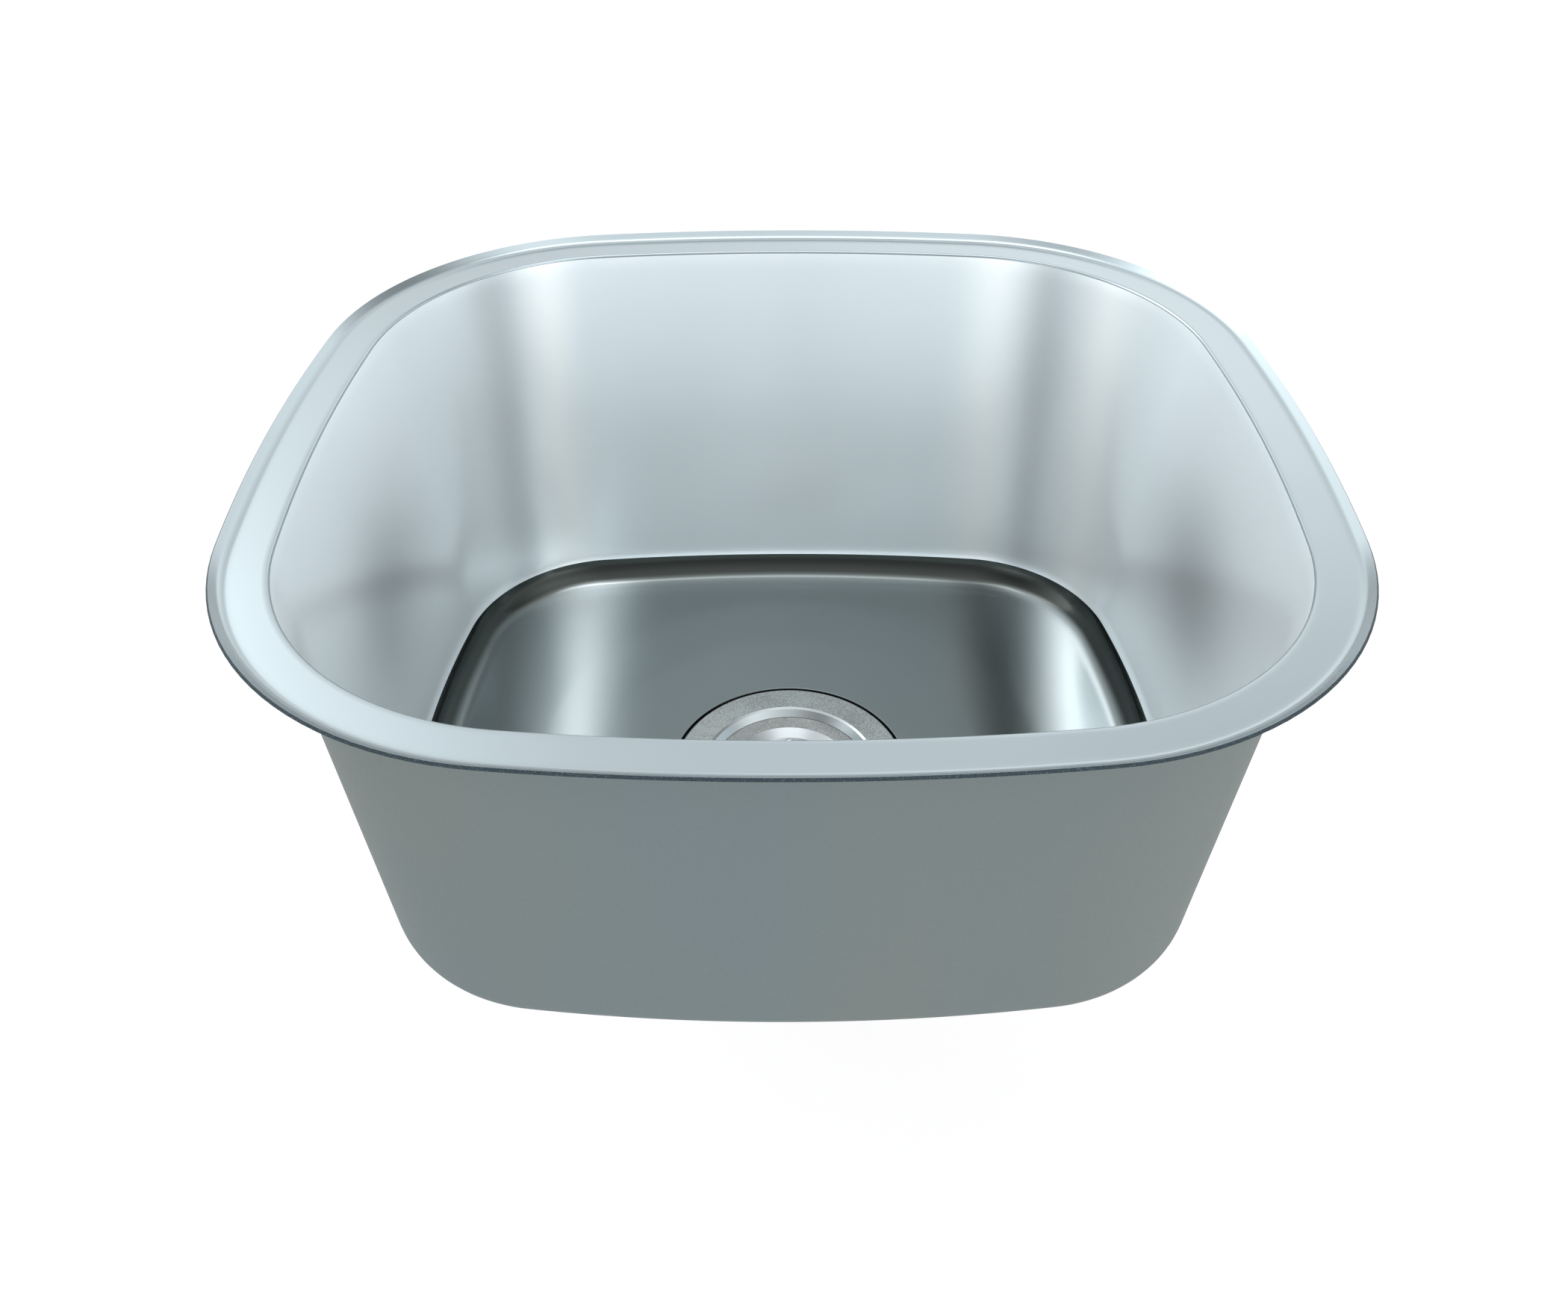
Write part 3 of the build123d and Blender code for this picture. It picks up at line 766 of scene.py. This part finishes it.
# %% [markdown]
# ## Rubber, fibre, nylon and chrome
# Rubber is matt with mould dust in its pores. Pressed fibre board shows short fibres. Nylon is waxy and
# almost even. Chrome is smooth, and only faint wiping marks change its gloss. They differ only in how
# coarse, rough and drawn out their grain is, so one recipe with a few numbers makes them all.


# %% Even grain for moulded and plated pieces
def grain_recipe(light, dark, scale, rough, relief, stretch=(1, 1, 1)):
    """A grain in colour, roughness and relief, over slow clouds; stretch draws the grain out."""

    def recipe(tree):
        grain = tree.noise(tree.place(stretch), scale=scale, detail=3)
        cloud = tree.noise(tree.place(), scale=60)
        darkness = tree.step(grain * 0.6 + cloud * 0.4, *NOISE_MIDDLE)
        return {
            "Base Color": tree.mix(darkness, rgba(light), rgba(dark)),
            "Roughness": tree.spread(grain * 0.5 + cloud * 0.5, *rough),
            "Normal": tree.bump(grain, relief),
        }

    return recipe


# Stretches of a grain: round a turned rod, along the fibres of a board, and up a drawn wire.
TURNED = (0.1, 0.1, 2)
FIBRES = (1, 0.2, 1)
UPRIGHT = (1, 1, 0.2)
# Light colour, dark colour, scale of the grain, roughness from and to, relief in metres, and stretch.
knob_grain = grain_recipe((0.66, 0.67, 0.68), (0.62, 0.63, 0.65), 300, (0.05, 0.12), 0.000003)
chrome_grain = grain_recipe((0.50, 0.515, 0.53), (0.475, 0.49, 0.505), 300, (0.06, 0.13), 0.000003)
black_rubber = grain_recipe((0.04, 0.04, 0.042), (0.02, 0.02, 0.022), 700, (0.5, 0.72), 0.00005)
fibre_board = grain_recipe((0.42, 0.28, 0.17), (0.31, 0.19, 0.10), 500, (0.6, 0.85), 0.00008, FIBRES)
moulded_nylon = grain_recipe((0.80, 0.80, 0.77), (0.74, 0.74, 0.70), 500, (0.38, 0.55), 0.00002)
spring_wire = grain_recipe((0.46, 0.47, 0.49), (0.36, 0.37, 0.39), 900, (0.2, 0.35), 0.00001, UPRIGHT)
post_grain = grain_recipe((0.46, 0.47, 0.475), (0.40, 0.41, 0.415), 900, (0.14, 0.3), 0.00001, TURNED)
print("the grained finishes are ready")

# %% [markdown]
# ## Spangle on the lock nut
# The lock nut is cast in zinc, which cools in small crystals and looks frosted. Cells of a Voronoi texture
# have the crystals' shape, and a fine noise over them breaks their edges.

# %% Zinc casting
SPANGLE_SCALE = 260
SPANGLE_COLOUR = (0.58, 0.59, 0.60)
SPANGLE_FROST_COLOUR = (0.42, 0.43, 0.45)
SPANGLE_RANGE = (0.2, 0.7)
SPANGLE_ROUGHNESS = (0.3, 0.55)
CASTING_GRAIN_DEPTH = 0.00005


def spangle_recipe(tree):
    crystal = tree.node("TexVoronoi", {"feature": "F1"}, {"Vector": tree.place(), "Scale": SPANGLE_SCALE})
    grain = tree.noise(tree.place(), scale=900, detail=3)
    frost = tree.step(crystal * 0.6 + grain * 0.4, *SPANGLE_RANGE)
    return {
        "Base Color": tree.mix(frost, rgba(SPANGLE_COLOUR), rgba(SPANGLE_FROST_COLOUR)),
        "Roughness": tree.spread(frost, *SPANGLE_ROUGHNESS),
        "Normal": tree.bump(grain, CASTING_GRAIN_DEPTH),
    }


print("the zinc's spangle is ready")

# %% [markdown]
# ## The sound pads
# Damping pads are cut from a thick rubber sheet that is rolled with a waffle of small square dimples. The
# dimples could be cut into the mesh, but nobody sees their sides. So they are relief only: the product of
# two waves, one along each edge.

# %% Waffle on the sound pads
WAFFLE_PITCH = 6.0 * MM
WAFFLE_DEPTH = 0.0005
WAFFLE_EDGE = 0.4
PAD_COLOUR = (0.022, 0.022, 0.026)
PAD_WORN_COLOUR = (0.05, 0.05, 0.055)
PAD_ROUGHNESS = (0.6, 0.85)


def waffle_recipe(tree):
    turns = 2 * math.pi / WAFFLE_PITCH
    place = tree.place((turns, turns, turns))
    waves = tree.math("SINE", tree.part(place, "X")) * tree.math("SINE", tree.part(place, "Y"))
    dimple = tree.step(waves, -WAFFLE_EDGE, WAFFLE_EDGE)
    pores = tree.noise(tree.place(), scale=500, detail=3)
    return {
        "Base Color": tree.mix(dimple * 0.6 + pores * 0.4, rgba(PAD_COLOUR), rgba(PAD_WORN_COLOUR)),
        "Roughness": tree.spread(pores, *PAD_ROUGHNESS),
        "Normal": tree.bump(dimple * 0.8 + pores * 0.2, WAFFLE_DEPTH),
    }


print("waffle pitch:", round(WAFFLE_PITCH / MM, 2), "mm")

# %% [markdown]
# ## Giving every piece its finish
# The model's record names a material slot for each piece. Naming the pieces one by one would miss a piece
# that is added later, so each slot gets one finish here and the record says which piece takes it.

# %% Finishes by material slot
finishes = {
    "drain_steel": material("drain_steel", strainer_press, metallic=1.0),
    "basket_steel": material("basket_steel", basket_press, metallic=1.0),
    "pad_rubber": material("pad_rubber", waffle_recipe),
    "seal_rubber": material("seal_rubber", black_rubber),
    "stopper_rubber": material("stopper_rubber", black_rubber),
    "fibre": material("fibre", fibre_board),
    "nut_zinc": material("nut_zinc", spangle_recipe, metallic=1.0),
    "nylon": material("nylon", moulded_nylon),
    "nut_chrome": material("nut_chrome", chrome_grain, metallic=1.0),
    "tube_chrome": material("tube_chrome", chrome_grain, metallic=1.0),
    "knob_chrome": material("knob_chrome", knob_grain, metallic=1.0),
    "spring_steel": material("spring_steel", spring_wire, metallic=1.0),
    "post_steel": material("post_steel", post_grain, metallic=1.0),
}
for row in frame["record"]["subparts"]:
    if row["material_slot"] in finishes:
        piece = frame["nodes"][row["node"]]
        piece.data.materials.clear()
        piece.data.materials.append(finishes[row["material_slot"]])
print("finishes:", len(finishes))

# %% [markdown]
# ## Screw threads
# The cup and the outlet of the strainer body carry rolled threads, seen where their nuts don't cover them.
# Bump can't give a thread its wavy outline, so each one is a real ridge: a small profile that winds round
# the wall, climbs one pitch a turn, and fades out at both ends.

# %% Ridge of a thread
THREAD_STEPS = 96
THREAD_SHARP_ANGLE = math.radians(30)
# The ridge starts inside the wall by this much, in millimetres.
THREAD_ROOT = 0.15
# Half the width of the ridge's foot as a share of the pitch, and of its crest as a share of its foot.
RIDGE_FOOT = 0.45
RIDGE_CREST = 0.2
# The ridge reaches its full size within a third of a turn, from this share at its ends.
THREAD_FADE = 3
THREAD_TIP = 0.05


def thread(name, radius, height, pitch, low, high):
    """One closed helical ridge on a wall of that radius, between two heights, in millimetres."""
    turns = (high - low) / pitch - 1
    along = np.linspace(0, 1, int(turns * THREAD_STEPS))
    angle = along * turns * 2 * math.pi
    middle = low + pitch / 2 + along * turns * pitch
    fade = np.clip(np.minimum(along, 1 - along) * turns * THREAD_FADE, THREAD_TIP, 1)
    rings = []
    for turn, rise, size in zip(angle, middle, fade):
        root, crest = radius - THREAD_ROOT, radius + height * size
        foot = pitch * RIDGE_FOOT * size
        top = foot * RIDGE_CREST
        profile = ((root, -foot), (crest, -top), (crest, top), (root, foot))
        rings.append([(out * math.cos(turn), out * math.sin(turn), rise + up) for out, up in profile])
    piece = net(name, rings, (finishes["drain_steel"],), lambda row: 0, "sink", capped=True)
    piece.data.set_sharp_from_angle(angle=THREAD_SHARP_ANGLE)
    print(name, "has", round(turns, 1), "turns")


print("a thread has", THREAD_STEPS, "steps a turn")

# %% [markdown]
# ## Where the threads run
# A thread shows only between its nut and the end of the wall that carries it. Those heights come from the
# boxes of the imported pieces, and a small gap keeps each thread clear of its neighbours.

# %% Threads of the cup and of the outlet
# Radius of the wall, height of the ridge, and pitch.
CUP_THREAD = (40.4, 0.45, 1.6)
OUTLET_THREAD = (23.6, 0.45, 1.6)
# The cup's thread starts this far below the gasket, and the outlet's ends this far above its mouth.
CUP_THREAD_LENGTH = 20.0
OUTLET_THREAD_LENGTH = 15.0
THREAD_GAP = 0.3


def top_of(node):
    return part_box(node)[1].z / MM


def foot_of(node):
    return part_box(node)[0].z / MM


cup_thread_foot = foot_of("floor_gasket") - CUP_THREAD_LENGTH
cup_thread_top = foot_of("lock_nut")
thread("cup_thread", *CUP_THREAD, cup_thread_foot + THREAD_GAP, cup_thread_top - THREAD_GAP)
outlet_thread_top = foot_of("strainer_body") + OUTLET_THREAD_LENGTH
outlet_thread_foot = top_of("coupling_nut")
thread("outlet_thread", *OUTLET_THREAD, outlet_thread_foot + THREAD_GAP, outlet_thread_top - THREAD_GAP)

# %% [markdown]
# ## The studio
# Polished steel looks like the room round it. The photograph's steel shows bright windows to the right, on
# both sides behind the camera and higher up at the rear left, and a dimmer ceiling. Lamps could stand
# there, but they would leave hard spots in the steel. So the world is a dim room with soft windows: each
# is brightest along one direction and fades smoothly away from it.

# %% Windows of the studio
AMBIENT = 0.06
WINDOW_SPREAD = 14.0
REAR, RIGHT, FRONT, LEFT = 0, 90, 180, 270
WINDOWS = (
    # Compass bearing from the rear, elevation, and brightness.
    (REAR, 8, 1.9),
    (REAR + 36, 8, 2.0),
    (RIGHT - 18, 8, 4.3),
    (RIGHT + 18, 8, 1.7),
    (FRONT - 36, 8, 5.0),
    (FRONT + 36, 8, 5.0),
    (LEFT + 18, 8, 1.1),
    (LEFT + 54, 8, 0.9),
    (LEFT, 32, 1.7),
    (LEFT + 36, 32, 4.7),
    (REAR + 18, 32, 0.8),
    (REAR, 56, 0.75),
    (RIGHT + 30, 56, 1.9),
    (FRONT, 56, 0.8),
    (LEFT + 30, 56, 0.9),
    (REAR, 90, 1.4),
)


def bearing(compass, elevation):
    """The unit direction towards a compass bearing and elevation, both in degrees."""
    turn, rise = math.radians(compass), math.radians(elevation)
    return (math.cos(rise) * math.sin(turn), math.cos(rise) * math.cos(turn), math.sin(rise))


print("windows:", len(WINDOWS))

# %% [markdown]
# ## The world's shader
# The camera sees plain white in every direction, as in the photograph, while the metal sees the windows.
# Metal also sees white near the horizon, where a real backdrop stands. A bent sheet could be modelled for
# that, but the kind of ray tells the world who is looking, and no sheet gets in the way of a view.

# %% World
# The height of a direction up to which metal sees white, and from which it sees none.
HORIZON_WHITE = 0.15
HORIZON_FADED = 0.45

world = bpy.data.worlds.new("studio")
bpy.context.scene.world = world
tree = Tree(world)
generated = tree.node("TexCoord", output="Generated")
direction = tree.node("VectorMath", {"operation": "NORMALIZE"}, {0: generated})
room = AMBIENT
for compass, elevation, brightness in WINDOWS:
    dots = {0: direction, 1: bearing(compass, elevation)}
    facing = tree.node("VectorMath", {"operation": "DOT_PRODUCT"}, dots, output="Value")
    room = tree.math("EXPONENT", (facing - 1) * WINDOW_SPREAD) * brightness + room
height = tree.math("ABSOLUTE", tree.part(direction, "Z"))
horizon = 1 - tree.step(height, HORIZON_WHITE, HORIZON_FADED)
looking = tree.math("MAXIMUM", tree.ray("Camera"), tree.ray("Transmission"))
white = tree.math("MAXIMUM", looking, tree.ray("Glossy") * horizon)
strength = tree.math("MAXIMUM", room * (1 - white), white)
backdrop = tree.node("Background", None, {"Color": rgba((1, 1, 1)), "Strength": strength})
tree.node("OutputWorld", None, {"Surface": backdrop})
print("made", world.name)

# %% [markdown]
# ## The floor
# A sheet of white paper lies under the tailpiece. The camera and the metal see it as the white of the
# backdrop, with only a faint share of its real shade, so that the sink still has a soft shadow under it.
# Seen from below it is clear, so that the underside of the sink can be looked at too.

# %% Floor
FLOOR_SIZE = 12.0
FLOOR_DROP = 0.0005
FLOOR_SHADOW = 0.12
PAPER_COLOUR = (0.85, 0.86, 0.87)

half = FLOOR_SIZE / 2
floor_corners = [(-half, -half, 0), (half, -half, 0), (half, half, 0), (-half, half, 0)]
floor_mesh = bpy.data.meshes.new("studio_floor")
floor_mesh.from_pydata(floor_corners, [], [(0, 1, 2, 3)])
studio_floor = bpy.data.objects.new("studio_floor", floor_mesh)
studio_floor.location.z = -FLOOR_DROP
bpy.context.scene.collection.objects.link(studio_floor)

floor_paper = bpy.data.materials.new("floor_paper")
tree = Tree(floor_paper)
looking = tree.math("MAXIMUM", tree.ray("Camera"), tree.ray("Transmission"))
seen = tree.math("MAXIMUM", looking, tree.ray("Glossy"))
paper = tree.node("BsdfDiffuse", None, {"Color": rgba(PAPER_COLOUR)})
glow = tree.node("Emission", None, {"Color": rgba((1, 1, 1)), "Strength": 1.0})
lit_paper = tree.node("MixShader", None, {0: seen * (1 - FLOOR_SHADOW), 1: paper, 2: glow})
from_below = tree.node("NewGeometry", output="Backfacing")
one_sided = tree.node("MixShader", None, {0: from_below, 1: lit_paper, 2: tree.node("BsdfTransparent")})
tree.node("OutputMaterial", None, {"Surface": one_sided})
floor_mesh.materials.append(floor_paper)
print("made", studio_floor.name)

# %% [markdown]
# ## A lamp over the bowl
# One small soft box stands above the bowl and a little behind it. The windows are too wide to leave a sharp
# highlight, and this lamp gives the knob and the rolled edges theirs.

# %% Soft box
# Places and size in metres, power in watts.
LAMP_PLACE = Vector((0, 0.45, 1.9))
BOWL_MIDDLE = Vector((0, 0, 0.25))
LAMP_SIZE = 0.5
LAMP_POWER = 1.7

lamp_data = bpy.data.lights.new("overhead_box", "AREA")
lamp_data.shape = "RECTANGLE"
lamp_data.size = lamp_data.size_y = LAMP_SIZE
lamp_data.energy = LAMP_POWER
lamp = bpy.data.objects.new("overhead_box", lamp_data)
lamp.location = LAMP_PLACE
lamp.rotation_euler = (BOWL_MIDDLE - LAMP_PLACE).to_track_quat("-Z", "Y").to_euler()
bpy.context.scene.collection.objects.link(lamp)
print("made", lamp.name)

# %% [markdown]
# ## Closing
# The colours are shown through the Standard view transform.

# %% Finish
bpy.context.scene.view_settings.view_transform = "Standard"
